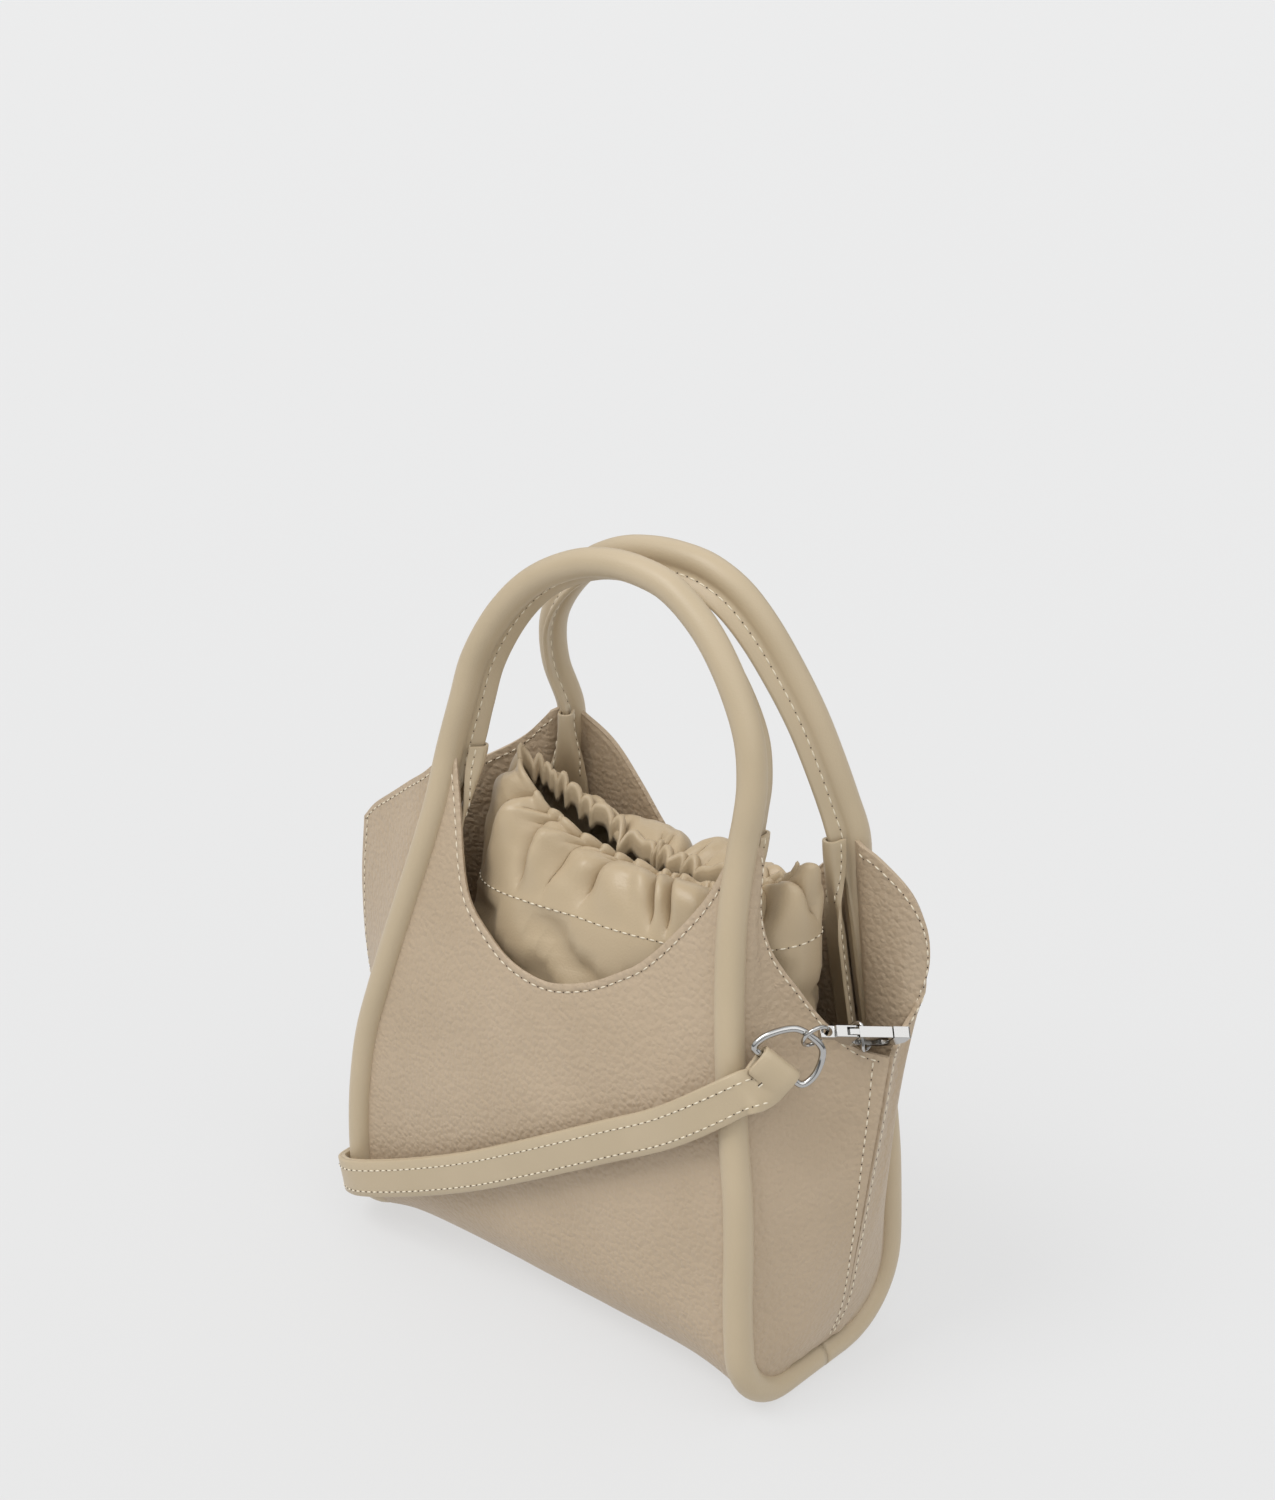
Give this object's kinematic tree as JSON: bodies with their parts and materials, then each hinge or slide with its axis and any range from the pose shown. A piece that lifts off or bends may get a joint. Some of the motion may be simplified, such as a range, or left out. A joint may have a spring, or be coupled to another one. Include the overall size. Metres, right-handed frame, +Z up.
{
  "type": "mini tote bag",
  "caption": "Mini tote bag with rolled tube handles, scooped leather panels, a gathered inner pouch and a strap clipped at both sides.",
  "frame": {"origin": "middle of the base panel's underside, on the floor", "axes": "+X along the bag's length to its right end, -Y towards the front panel, +Z up to the handles"},
  "size_m": [0.2625, 0.1002, 0.288],
  "materials": {
    "shell_leather": "pebbled",
    "smooth_leather": "smooth",
    "pouch_leather": "soft satin",
    "metal": "polished"
  },
  "bodies": {
    "bag": {"binding_back_left": "smooth_leather", "binding_back_right": "smooth_leather", "binding_front_left": "smooth_leather", "binding_front_right": "smooth_leather", "clasp_left": "metal", "clasp_right": "metal", "gusset_left_back": "shell_leather", "gusset_left_front": "shell_leather", "gusset_loop_left": "metal", "gusset_loop_right": "metal", "gusset_right_back": "shell_leather", "gusset_right_front": "shell_leather", "gusset_tab_left": "smooth_leather", "gusset_tab_right": "smooth_leather", "handle_back": "smooth_leather", "handle_front": "smooth_leather", "link_ring_left": "metal", "link_ring_right": "metal", "pouch": "pouch_leather", "shell_front_base_back": "shell_leather", "strap": "smooth_leather", "strap_ring_left": "metal", "strap_ring_right": "metal"},
    "lever": {"lever_right": "metal"}
  },
  "joints": [
    {"name": "lever_right_hinge", "type": "hinge", "parent": "bag", "child": "lever", "pos_m": [0.10858, -0.00389, 0.14178], "axis": [-0.5139, 0.4808, 0.7105], "range_deg": [0, 14], "stiffness_Nm_per_rad": 0.02}
  ]
}
